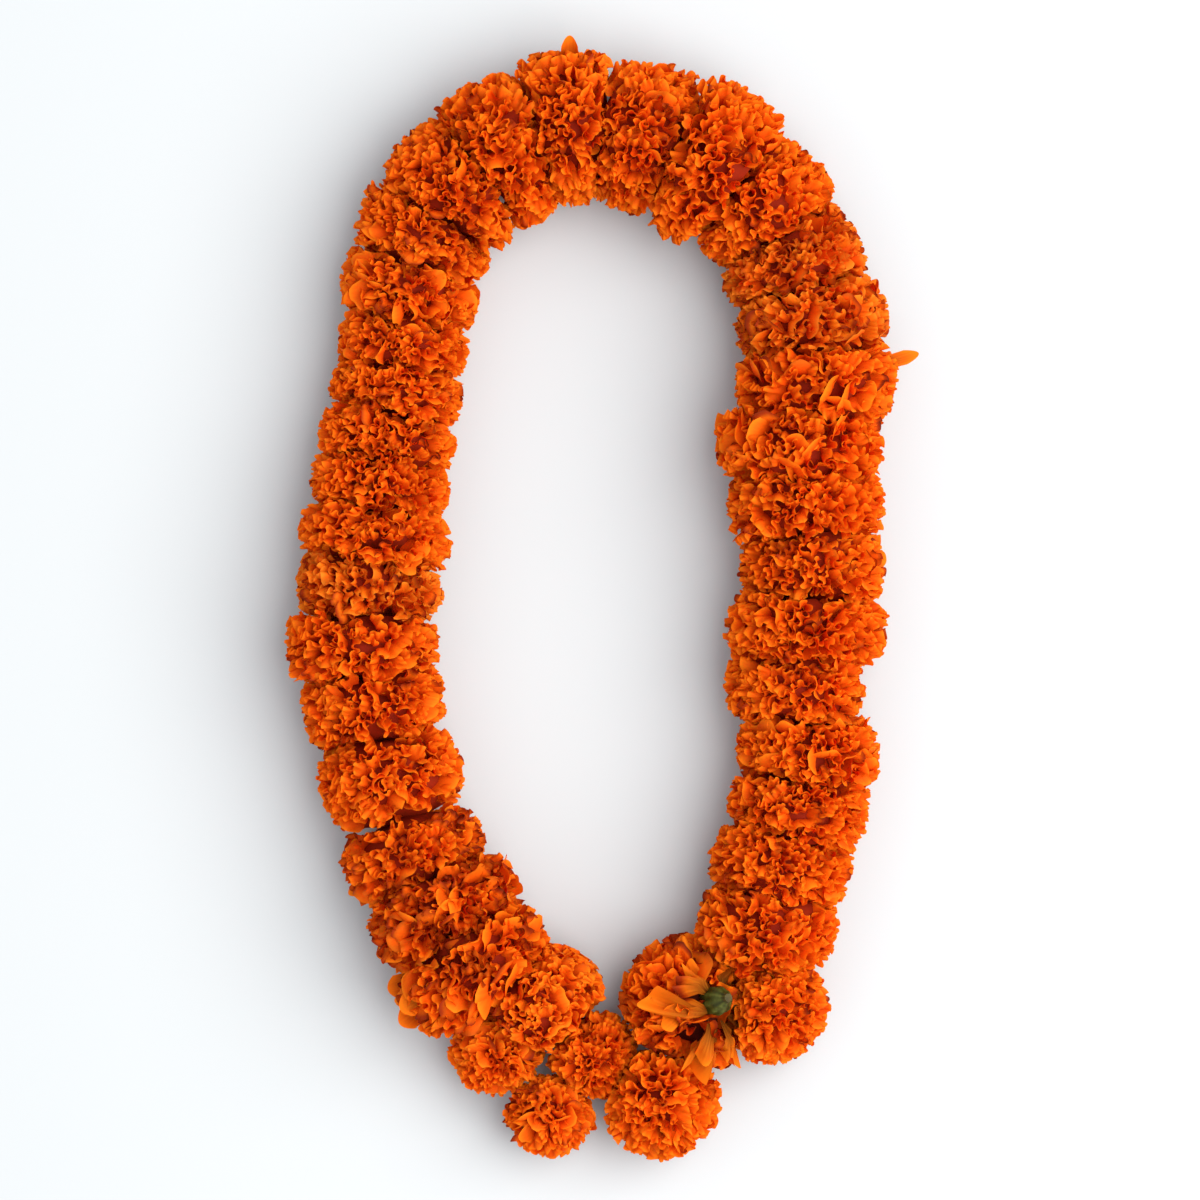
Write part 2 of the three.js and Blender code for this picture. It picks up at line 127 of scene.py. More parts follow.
# The share of a pressed end's radius that has no petals, and of its depth that the core fills, and the
# same for far ends that the next head covers little of, or not at all (-1 leaves nothing bare).
COVERED_END = (0.56, 0.95)
OPEN_ENDS = {"bloom_left_17": (0.3, 0.78), "bloom_left_18": (-1, 0.62), "bloom_right_15": (-1, 0.7)}

# The most that the wall between two heads is pushed along the thread, and the waves that push it:
# radians for a metre along x, y and z, and where each starts.
SWAY = 0.006
SWAY_WAVES = (((260, 190, -90), 0.4), ((-210, 330, 170), 1.9), ((120, -150, 420), 3.1))

LOOSE_CORE = 0.62            # a loose head's core, as a share of its form
STRUNG_CORE = 0.76           # a strung head's core, across the thread
CORE_FINENESS = 2            # how often the ball that a core is made from is subdivided
FORM_FINENESS = 4            # the same for the form that petals stand on
TRIED_PLACES = 400000.0      # for petals on a square metre, before their distance thins them out
PETAL_PACKING = 0.8          # least distance between two petals, beside an even share of the surface
PETAL_SPACING = 0.0052       # distance between petals at which they have their full size
PETAL_SCALES = (0.75, 1.15)  # smallest and largest petal
PETAL_LEAN = 0.3             # the most that a petal leans in or out, in radians
FLOOR_GAP = 0.0001           # petals end this far over the floor

# Place from a calyx's rim to its stem, and share of the full radius.
CALYX_PROFILE = (
    (0.0, 0.9), (0.08, 0.99), (0.18, 1.02), (0.3, 1.02), (0.42, 0.99), (0.54, 0.92), (0.66, 0.78),
    (0.76, 0.6), (0.84, 0.44), (0.9, 0.36), (0.96, 0.34), (1.0, 0.3))
RIB_CORNERS = 6              # corners round a calyx for each rib
THREAD_SIDES = 6             # corners in each ring of the thread's node
PLY_CORNERS = 6              # corners round the twisted thread for each yarn
PLY_GROOVE = 0.14            # how deep the thread narrows between two yarns, as a share of its radius
LIGHT_THROUGH_PETAL = (1.0, 0.64, 0.3)     # what a petal leaves of each channel of light
PETAL_SLOTS = {"petal_orange": "petals fresh", "petal_amber": "petals withered"}

KEY_PLACE, KEY_SIDE, KEY_COLOUR = (1.25, -0.05, 1.95), 2.6, (1.0, 0.985, 0.96)
FILL_PLACE, FILL_SIDE, FILL_COLOUR = (-1.8, -0.4, 2.0), 2.4, (0.93, 0.96, 1.0)
SKY_COLOUR = (0.93, 0.965, 1.0)
SENSOR_WIDTH = 36            # of the camera, in millimetres


# ---- settings ----


def length_prop(name, description, default):
    return bpy.props.FloatProperty(name=name, description=description, default=default, unit="LENGTH")


def angle_prop(name, description, default):
    return bpy.props.FloatProperty(name=name, description=description, default=default, subtype="ANGLE")


def count_prop(name, description, default, least=0):
    return bpy.props.IntProperty(name=name, description=description, default=default, min=least)


def colour_prop(name, description, default):
    return bpy.props.FloatVectorProperty(
        name=name, description=description, default=default, subtype="COLOR")


class PetalSettings(bpy.types.PropertyGroup):
    """Sizes of the petals."""

    count: count_prop("Petals", "Petals on one head, about", 184, 20)
    length: length_prop("Length", "Length of a petal", 0.017)
    width: length_prop("Width", "Width of a petal at its tip", 0.0122)
    thickness: length_prop("Thickness", "Thickness of a petal in its middle", 0.0005)
    ruffle: length_prop("Ruffle", "Height of the waves in a petal's edge", 0.0022)
    curl: angle_prop("Curl", "The most that a petal's tip bends over", math.radians(95))
    roll: angle_prop("Roll", "The most that a petal turns about its own length", math.radians(80))
    wobble: length_prop("Wobble", "How far petals are pushed out of shape", 0.0022)
    shapes: count_prop("Shapes", "Different petals that a head's petals are drawn from", 16, 8)
    seed: count_prop("Seed", "Seed of the petals' sizes, places and colours", 7)


class CalyxSettings(bpy.types.PropertyGroup):
    """Shape of the calyxes."""

    ribs: count_prop("Ribs", "Ribs and teeth round a calyx", 9, 3)
    rib_height: bpy.props.FloatProperty(
        name="Rib height", description="Height of a rib, as a share of the radius", default=0.055,
        subtype="FACTOR", min=0, max=0.2)
    tooth: length_prop("Tooth", "Half the length of a tooth at the rim", 0.0012)
    seed: count_prop("Seed", "Seed of how each calyx is turned", 3)


class ThreadSettings(bpy.types.PropertyGroup):
    """How the thread is twisted."""

    plies: count_prop("Plies", "Yarns twisted into the thread", 2, 2)
    pitch: length_prop("Pitch", "Length of one turn of the twist", 0.01)
    step: length_prop("Step", "Length of one face along the thread", 0.0012)


class ColourSettings(bpy.types.PropertyGroup):
    """Colours of the garland and its stage."""

    fresh: colour_prop("Fresh petal", "Colour of a fresh petal's blade", (0.97, 0.22, 0.006))
    deep: colour_prop("Deep petal", "Colour of the reddest petals", (0.94, 0.135, 0.0035))
    golden: colour_prop("Golden petal", "Colour of the yellowest petals", (0.97, 0.3, 0.009))
    withered: colour_prop("Withered petal", "Colour of a withered petal's edge", (0.88, 0.29, 0.02))
    # A petal's base: darker and redder, as painted shade where the petals sit deep in the head.
    throat_shade: colour_prop("Petal base", "Colour of a petal's base", (0.84, 0.065, 0.0025))
    # The core, and the core of a head seen from behind, are painted dark as the shade in the hollows
    # between petals.
    core: colour_prop("Core", "Colour of a head's core, between its petals", (0.4, 0.028, 0.007))
    bare_core_shade: colour_prop(
        "Bare core", "Colour of the core of a head seen from behind", (0.1, 0.012, 0.006))
    browned: colour_prop("Browned petal", "Colour of a petal that begins to dry", (0.62, 0.055, 0.004))
    dried: colour_prop("Dried edge", "Colour of a dried petal edge", (0.22, 0.028, 0.008))
    calyx: colour_prop("Calyx", "Colour of the calyxes", (0.042, 0.045, 0.004))
    calyx_worn: colour_prop("Worn calyx", "Colour of a calyx's teeth and cut stem", (0.07, 0.03, 0.008))
    cotton: colour_prop("Cotton", "Colour of the thread", (0.5, 0.42, 0.28))
    floor: colour_prop("Floor", "Colour of the floor", (0.515, 0.532, 0.541))


class StageSettings(bpy.types.PropertyGroup):
    """Camera, floor and lights."""

    view_width: length_prop("View width", "Width that the camera sees at mid height", 0.5376)
    camera_height: length_prop("Camera height", "Height of the camera over the floor", 2.6)
    floor_size: length_prop("Floor size", "Side of the floor", 6.0)
    key: bpy.props.FloatProperty(
        name="Key light", description="Power of the light from the right", default=95.0)
    fill: bpy.props.FloatProperty(
        name="Fill light", description="Power of the light from the left", default=1.5)
    sky: bpy.props.FloatProperty(
        name="Sky", description="Strength of the light from all round", default=0.93)


# ---- small tools ----


class Tree:
    """Adds nodes to a node tree and joins them."""

    def __init__(self, tree):
        self.tree = tree

    def add(self, kind, settings=None, inputs=None):
        """A new node, with its settings and with a value or a socket for each named input."""
        node = self.tree.nodes.new(kind)
        for name, value in (settings or {}).items():
            setattr(node, name, value)
        for name, value in (inputs or {}).items():
            self.feed(node.inputs[name], value)
        return node

    def feed(self, socket, value):
        """Joins a socket to another one or to a node's first output, or sets its value."""
        if isinstance(value, bpy.types.Node):
            value = value.outputs[0]
        if isinstance(value, bpy.types.NodeSocket):
            self.tree.links.new(value, socket)
        else:
            socket.default_value = value

    def attribute(self, name):
        return self.add("ShaderNodeAttribute", {"attribute_name": name}).outputs["Fac"]

    def object_place(self):
        return self.add("ShaderNodeTexCoord").outputs["Object"]

    def noise(self, place, scale, detail):
        return self.add("ShaderNodeTexNoise", inputs={
            "Vector": place, "Scale": scale, "Detail": detail}).outputs["Fac"]

    def bump(self, height, strength, distance):
        return self.add("ShaderNodeBump", inputs={
            "Strength": strength, "Distance": distance, "Height": height})

    def surface(self, colour, roughness, gloss, normal):
        return self.add("ShaderNodeBsdfPrincipled", inputs={
            "Base Color": colour, "Roughness": roughness, "Specular IOR Level": gloss,
            "Normal": normal})

    def ramp(self, value, *stops):
        """Colours at places between 0 and 1. A number stands for a grey."""
        node = self.add("ShaderNodeValToRGB", inputs={"Fac": value})
        elements = node.color_ramp.elements
        while len(elements) < len(stops):
            elements.new(0.5)
        for element, (place, colour) in zip(elements, stops):
            element.position = place
            element.color = (*(colour if hasattr(colour, "__len__") else [colour] * 3), 1)
        return node.outputs["Color"]

    def blend(self, share, first, second, way="MIX"):
        """The first colour, mixed with a share of the second."""
        node = self.add("ShaderNodeMix", {"data_type": "RGBA", "blend_type": way})
        self.feed(node.inputs["Factor"], share)
        for socket, value in ((node.inputs["A"], first), (node.inputs["B"], second)):
            if not isinstance(value, bpy.types.NodeSocket):
                value = (*value, 1)
            self.feed(next(other for other in node.inputs
                           if other.name == socket.name and other.type == "RGBA"), value)
        return next(output for output in node.outputs if output.type == "RGBA")

    def maths(self, way, first, second=0.0, clamp=False):
        node = self.add("ShaderNodeMath", {"operation": way, "use_clamp": clamp})
        self.feed(node.inputs[0], first)
        self.feed(node.inputs[1], second)
        return node.outputs[0]


def new_material(name):
    """A material without nodes yet, and what adds them."""
    material = bpy.data.materials.new(name)
    material.use_nodes = True
    material.node_tree.nodes.clear()
    return material, Tree(material.node_tree)


def unit(vectors):
    return vectors / np.linalg.norm(vectors, axis=-1, keepdims=True)


def smooth(share):
    """0 below 0, 1 above 1, and an even curve between them."""
    share = np.clip(share, 0, 1)
    return share * share * (3 - 2 * share)


def axes_across(axis):
    """Two directions at right angles to an axis and to each other."""
    sideways = unit(np.cross(axis, (0, 0, 1) if abs(axis[2]) < 0.9 else (1, 0, 0)))
    return sideways, np.cross(axis, sideways)


def corner_places(mesh):
    places = np.empty(len(mesh.vertices) * 3, np.float32)
    mesh.vertices.foreach_get("co", places)
    return places.reshape(-1, 3)


def store(mesh, name, values):
    """Keeps one number for each corner of the mesh."""
    attribute = mesh.attributes.new(name, "FLOAT", "POINT")
    attribute.data.foreach_set("value", np.asarray(values, np.float32))


def put_in_scene(name, data):
    thing = bpy.data.objects.new(name, data)
    bpy.context.scene.collection.objects.link(thing)
    return thing


def tube_faces(rings, sides):
    """Faces between rings of points. The last row of them joins the last ring to the first."""
    here = np.arange(rings * sides).reshape(rings, sides)
    after, beside = np.roll(here, -1, 0), np.roll(here, -1, 1)
    return np.stack([here, beside, np.roll(after, -1, 1), after], -1)


def new_piece(mesh, material, sharp=None):
    """A smooth object in the scene. Edges that turn by more than the sharp angle stay sharp."""
    mesh.materials.append(material)
    mesh.polygons.foreach_set("use_smooth", np.ones(len(mesh.polygons), bool))
    if sharp:
        mesh.set_sharp_from_angle(angle=math.radians(sharp))
    return put_in_scene(mesh.name, mesh)


def finish_piece(piece, node):
    """Makes the piece stand for a node of the frame, and ride with it."""
    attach(piece, "root")
    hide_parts(node)


def slot_of(node):
    parts = frame["record"]["subparts"]
    return next(part["material_slot"] for part in parts if part["node"] == node)


def node_points(node):
    """The places of a node's corners, each once."""
    return np.unique(corner_places(frame["nodes"][node].data).round(6), axis=0).astype(float)


# ---- a head's form, as the frame holds it ----


def sway(places):
    """How far the wall between two heads is pushed to and fro, so that their petals interlock."""
    waves = sum(np.sin(places @ np.array(turns) + start) for turns, start in SWAY_WAVES)
    return SWAY * waves / len(SWAY_WAVES)


class Form:
    """The tight convex skin round a head's node, seen from the head's middle."""

    # How far a face has to turn to the axis to be pressed by the next head, and how little to be the
    # head's side. Between them it is a shoulder.
    END_FACE = 0.85
    SHOULDER = 0.3
    MOST_FILL = 0.25         # the most that a shoulder is filled by, as a share of its reach
    SIDE_KNEE = 0.93         # where petals start to bend over, as a share of the way to the limit
    END_KNEE = 0.88          # the same towards the next head
    LEAST_HALF = 0.002       # what a wall leaves of a head's half, wherever it sways
    UNDERNEATH = 0.6         # the share of petals left out where a head is over the floor

    def __init__(self, node, axis, strand):
        points = node_points(node)
        distance = np.linalg.norm(points - np.median(points, axis=0), axis=1)
        far = np.argsort(distance)[len(points) - LONG_PETALS.get(node, (0,))[0]:]
        self.tips = points[far]
        points = np.delete(points, far, axis=0)
        self.middle = points.mean(0)
        self.axis = np.array(axis, float)
        self.strand = strand
        self.strung = strand != 0
        *self.spread, self.fill, self.room = FITS.get(node, USUAL_FIT)
        self.far_end = OPEN_ENDS.get(node, COVERED_END)
        self.back = BACK_PETALS.get(node)
        self.broad = node in BROAD_HEADS
        self.normals, self.heights = self.planes(points - self.middle)
        turned = np.abs(self.normals @ self.axis)
        self.ends = turned > self.END_FACE
        self.sides = turned < self.SHOULDER
        self.radius = float(np.median(self.reach(self.ring())))

    @staticmethod
    def planes(points):
        """The faces of the skin round some points: which way each looks, and how far out it lies."""
        shell = bmesh.new()
        for point in points:
            shell.verts.new(point)
        bmesh.ops.convex_hull(shell, input=shell.verts)
        normals = np.array([face.normal for face in shell.faces if face.calc_area() > 1e-9])
        corners = np.array([face.verts[0].co for face in shell.faces if face.calc_area() > 1e-9])
        shell.free()
        heights = (normals * corners).sum(1)
        turned = np.where(heights < 0, -1, 1)
        return normals * turned[:, None], heights * turned

    def ring(self, count=24):
        """A count of directions across the axis, all round."""
        sideways = unit(np.cross(self.axis, (0, 0, 1)))
        upward = np.cross(sideways, self.axis)
        angle = np.linspace(0, 2 * math.pi, count, endpoint=False)[:, None]
        return sideways * np.cos(angle) + upward * np.sin(angle)

    def reach(self, directions, which=None, swaying=False):
        """How far the form reaches from its middle along each direction."""
        normals = self.normals if which is None else self.normals[which]
        heights = self.heights if which is None else self.heights[which]
        towards = directions @ normals.T
        distance = meeting(heights, towards, 1e-6)
        if swaying:
            turned = normals @ self.axis
            walls = np.abs(turned) > self.END_FACE
            side = np.sign(turned[walls])
            near = np.minimum(distance[:, walls], 2 * self.radius)
            places = self.middle + directions[:, None] * near[..., None]
            pushed = side * self.strand * sway(places) + np.where(side < 0, *self.spread)
            distance[:, walls] += pushed / np.maximum(towards[:, walls], 0.2)
        return distance.min(1)

    def full_reach(self, directions):
        """The reach, with a strung head's shoulders filled and its walls swaying."""
        if not self.strung:
            return self.reach(directions)
        reach = self.reach(directions, swaying=True)
        filled = self.reach(directions, self.ends | self.sides, swaying=True)
        return reach + self.fill * np.clip(filled - reach, 0, self.MOST_FILL * reach)

    def exposure(self, directions):
        """1 where petals show, and little where the next head or the floor covers them."""
        below = 1 - self.UNDERNEATH * smooth((-directions[:, 2] - 0.55) / 0.3)
        if self.back:
            *_, end, left_out = self.back
            polar = np.degrees(np.arccos(np.clip(directions @ self.axis, -1, 1)))
            below *= 1 - left_out * smooth((polar - end - 8) / 10)
        if not self.strung:
            return below
        end = self.reach(directions, self.ends)
        side = self.reach(directions, self.sides)
        from_axis = np.sqrt(1 - np.clip(directions @ self.axis, -1, 1) ** 2) * end
        pressed = end < side
        bare = np.where(directions @ self.axis > 0, self.far_end[0], COVERED_END[0])
        return below * np.where(pressed, smooth((from_axis / self.radius - bare) / 0.25) * 0.8, 1)

    def press(self, points):
        """Points round the middle, drawn in where they would leave the form."""
        if not self.strung:
            distance = np.linalg.norm(points, axis=1)
            directions = points / np.maximum(distance, 1e-9)[:, None]
            limit = self.reach(directions) + self.room
            return directions * drawn_in(distance, limit, self.SIDE_KNEE)[:, None]
        along = points @ self.axis
        across = points - along[:, None] * self.axis
        radius = np.linalg.norm(across, axis=1)
        outward = across / np.maximum(radius, 1e-9)[:, None]
        turned = self.normals @ self.axis

        def sideways(which):
            left = self.heights[which] - along[:, None] * turned[which]
            return meeting(left, outward @ self.normals[which].T, 1e-3).min(1)

        hull, filled = sideways(~self.ends), sideways(self.sides)
        limit = hull + self.fill * np.clip(filled - hull, 0, self.MOST_FILL * hull) + self.room
        radius = drawn_in(radius, limit, self.SIDE_KNEE)
        push = self.strand * sway(self.middle + points)
        for side, spread in zip((-1, 1), self.spread):
            which = self.ends & (side * turned > 0)
            left = self.heights[which] - radius[:, None] * (outward @ self.normals[which].T)
            limit = (left / (side * turned[which])).min(1) + side * push + spread
            limit = np.maximum(limit, self.LEAST_HALF)
            along = side * drawn_in(side * along, limit, self.END_KNEE)
        return along[:, None] * self.axis + radius[:, None] * outward


def meeting(heights, towards, least):
    """How far it is to planes of these heights, for directions that turn towards them by this much."""
    distance = np.full(towards.shape, np.inf)
    np.divide(heights, towards, out=distance, where=towards > least)
    return distance


def drawn_in(distance, limit, knee):
    """Distances that bend over past a share of their limit, and never pass it."""
    start = knee * limit
    over = np.maximum(distance - start, 0)
    return np.where(over > 0, start + (limit - start) * (1 - np.exp(-over / (limit - start))), distance)


def head_forms():
    """Every head's form, with its axis from the heads beside it, or from its calyx if it is loose."""
    centre = {name: sum(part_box(name), start=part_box(name)[0] * 0) / 2
              for name in frame["nodes"] if name != "thread"}
    forms = {}
    for side, other, strand in (("left", "right", 1), ("right", "left", -1)):
        names = [f"bloom_{side}_{i + 1:02d}" for i in range(STRUNG[side])]
        places = [centre[f"bloom_{other}_01"], *[centre[name] for name in names]]
        places.append(2 * places[-1] - places[-2])
        for i, name in enumerate(names):
            forms[name] = Form(name, (places[i + 2] - places[i]).normalized(), strand)
    for name in sorted(centre):
        if name.startswith("bloom") and name not in forms:
            calyx = centre[name.replace("bloom", "calyx")]
            forms[name] = Form(name, (centre[name] - calyx).normalized(), 0)
    return forms


# ---- petals ----


class PetalGrid:
    """The grid that every petal is made on: a front and a back sheet that share their edge."""

    ROWS = ((0.35, 2), (0.65, 6), (0.85, 14), (1.0, 22))     # place along the petal, strips across it
    MARGIN = 0.02                                            # round each sheet in its flat map

    def __init__(self):
        starts = np.cumsum([0] + [strips + 1 for _, strips in self.ROWS])
        front = [np.arange(start, start + strips + 1) for start, (_, strips) in zip(starts, self.ROWS)]
        self.along = np.concatenate([np.full(strips + 1, place) for place, strips in self.ROWS])
        self.grown = (self.along - self.along[0]) / (1 - self.along[0])
        self.across = np.concatenate([np.linspace(-1, 1, strips + 1) for _, strips in self.ROWS])
        inner = np.concatenate([row[1:-1] for row in front[1:-1]])
        twin = np.arange(starts[-1])
        twin[inner] = starts[-1] + np.arange(inner.size)
        self.source = np.concatenate([np.arange(starts[-1]), inner])
        self.side = np.zeros(self.source.size)
        self.side[inner] = 1
        self.side[starts[-1]:] = -1
        sheet = np.array([face for lower, upper in zip(front, front[1:])
                          for face in self.stitch(lower, upper)])
        self.faces = np.concatenate([sheet, twin[sheet][:, ::-1]])
        self.flat = self.flat_map(len(sheet))

    def stitch(self, lower, upper):
        """Triangles between two rows of points, none with all three corners in the petal's edge."""
        from_edge = lower[0] == 0
        faces, i, j = [], 0, 0
        while i < len(lower) - 1 or j < len(upper) - 1:
            left = self.across[lower[i + 1]] if i < len(lower) - 1 else np.inf
            right = self.across[upper[j + 1]] if j < len(upper) - 1 else np.inf
            corner = i == j == 0 and not from_edge
            if left < right or corner or (left == right and from_edge):
                faces.append((lower[i + 1], lower[i], upper[j]))
                i += 1
            else:
                faces.append((upper[j + 1], lower[i], upper[j]))
                j += 1
        return faces

    def flat_map(self, front_count):
        """Each face's corners in a unit square: the front sheet on its left, the back on its right."""
        across = (self.across[self.source][self.faces] + 1) / 2
        along = self.grown[self.source][self.faces]
        start = np.where(np.arange(len(self.faces)) < front_count, 0, 0.5)[:, None] + self.MARGIN
        return np.stack([start + (0.5 - 2 * self.MARGIN) * across,
                         self.MARGIN + (1 - 2 * self.MARGIN) * along], -1)


GRID = PetalGrid()


def petal_points(settings, random, broad):
    """One petal that stands on its base, its highest point level with the origin and facing +Y."""
    along, across = GRID.along, GRID.across
    length = settings.length * (1.15 if broad else 1)
    width = settings.width * (random.uniform(1.2, 1.5) if broad else random.uniform(0.8, 1.1))
    ruffle = settings.ruffle * (random.uniform(0.5, 0.9) if broad else random.uniform(0.8, 1.25))
    curl = settings.curl * (random.uniform(0.3, 0.8) if broad else random.uniform(0.1, 0.9) ** 2)
    curl *= random.choice([-1, 1])

    # The outline: rounded and a little ragged at the tip, narrow at the base.
    share = along * (1 - 0.32 * np.abs(across) ** 2.5)
    share += 0.02 * along ** 3 * np.sin(random.uniform(3, 6) * across + random.uniform(0, 6))
    half = width / 2 * (0.2 + 0.8 * smooth(along / 0.85))

    # Waves that grow towards the tip, and lean over into folds.
    waves, phase = random.uniform(1.6, 2.8), random.uniform(0, 2 * math.pi)
    if broad:
        waves *= 0.6
    turn = math.pi * waves * across + phase
    lift = ruffle * along ** 2 * (np.sin(turn) + 0.3 * np.sin(0.45 * turn + 1))
    lift += random.uniform(-0.35, 0.35) * half * across ** 2
    fold = -0.7 * half / (math.pi * waves) * along ** 3 * np.sin(2 * turn) * (0.3 if broad else 1)

    # The grid's columns bend over from about their middle on, more on one side than on the other.
    bends = 40
    steps = np.linspace(0, 1, bends + 1)
    uneven = random.uniform(-0.4, 0.4)
    up, forward, turned = (np.empty_like(share) for _ in range(3))
    for column in np.unique(across):
        here = across == column
        bend = curl * (1 + uneven * column) * smooth((steps - 0.45) / 0.55)
        rise = np.concatenate([[0], np.cumsum(np.cos(bend[1:]))]) / bends
        lean = np.concatenate([[0], np.cumsum(np.sin(bend[1:]))]) / bends
        up[here] = np.interp(share[here], steps, rise) * length
        forward[here] = np.interp(share[here], steps, lean) * length
        turned[here] = np.interp(share[here], steps, bend)

    normal = np.stack([np.zeros_like(turned), np.cos(turned), -np.sin(turned)], -1)
    sheet = np.stack([across * half + fold, forward, up], -1) + normal * lift[:, None]
    sheet[:, 2] -= sheet[:, 2].max()
    twist = random.uniform(-0.6, 0.6) * share
    x, y = sheet[:, 0].copy(), sheet[:, 1].copy()
    sheet[:, 0] = x * np.cos(twist) - y * np.sin(twist)
    sheet[:, 1] = x * np.sin(twist) + y * np.cos(twist)
    return thicken(sheet, normal, settings.thickness)


def thicken(sheet, normal, thickness):
    """The front and back sheets of a petal, on both sides of its middle sheet."""
    thick = thickness / 2 * np.sqrt(1 - GRID.across ** 2 * 0.8) * (1 - 0.6 * GRID.along)
    return sheet[GRID.source] + GRID.side[:, None] * (normal * thick[:, None])[GRID.source]


def back_petals(form, settings, random):
    """Broad outer petals in two layers over a head's form, from round its calyx to past its rim."""
    count, start, end, _ = form.back
    start, end = math.radians(start), math.radians(end)
    sideways, upward = axes_across(form.axis)
    along = GRID.grown
    petals = []
    for i in range(count):
        outer = i % 2
        share = along * (1 - 0.25 * np.abs(GRID.across) ** 2.4)
        # Inner petals start farther from the calyx than outer ones, and some reach farther out.
        first = start - math.radians(random.uniform(0, 12 if outer else 26))
        polar = first + (end - first) * random.uniform(0.45, 0.8 if outer else 0.95) * share
        half = settings.width * random.uniform(0.42, 0.62) * (0.3 + 0.7 * smooth(along / 0.85))
        around = 2 * math.pi * (i + random.uniform(-0.6, 0.6)) / count
        around = around + random.uniform(-0.4, 0.4) * along
        turned = around - GRID.across * half / (form.radius * np.maximum(np.sin(polar), 0.35))
        directions = (np.cos(polar)[:, None] * form.axis
                      + (np.sin(polar) * np.cos(turned))[:, None] * sideways
                      + (np.sin(polar) * np.sin(turned))[:, None] * upward)
        wave = np.sin(math.pi * random.uniform(0.9, 2.6) * GRID.across + random.uniform(0, 6))
        lift = settings.ruffle * along ** 1.5 * (1.6 * wave + random.uniform(-1.0, 2.4))
        lift += settings.ruffle * random.uniform(-1.6, 2.2) * np.sin(math.pi * along)
        lift += random.uniform(-0.8, 0.5) * half * GRID.across * np.abs(GRID.across)
        lift -= random.uniform(-0.5, 0.9) * half * GRID.across ** 2
        depth = 0.7 + 0.1 * outer
        distance = form.full_reach(directions) * (depth + (0.96 - depth) * along) + lift
        petals.append(thicken(directions * distance[:, None], directions, settings.thickness))
    return np.concatenate(petals)


def petal_shapes(settings):
    """A collection of different petals, broad ones first, that geometry nodes draw from."""
    collection = bpy.data.collections.new("petal shapes")
    for i in range(settings.shapes):
        random = np.random.default_rng(settings.seed * 100 + i)
        mesh = bpy.data.meshes.new(f"petal_shape_{i:02d}")
        mesh.from_pydata(petal_points(settings, random, i < BROAD_SHAPES).tolist(), [],
                         GRID.faces.tolist())
        collection.objects.link(bpy.data.objects.new(mesh.name, mesh))
    return collection


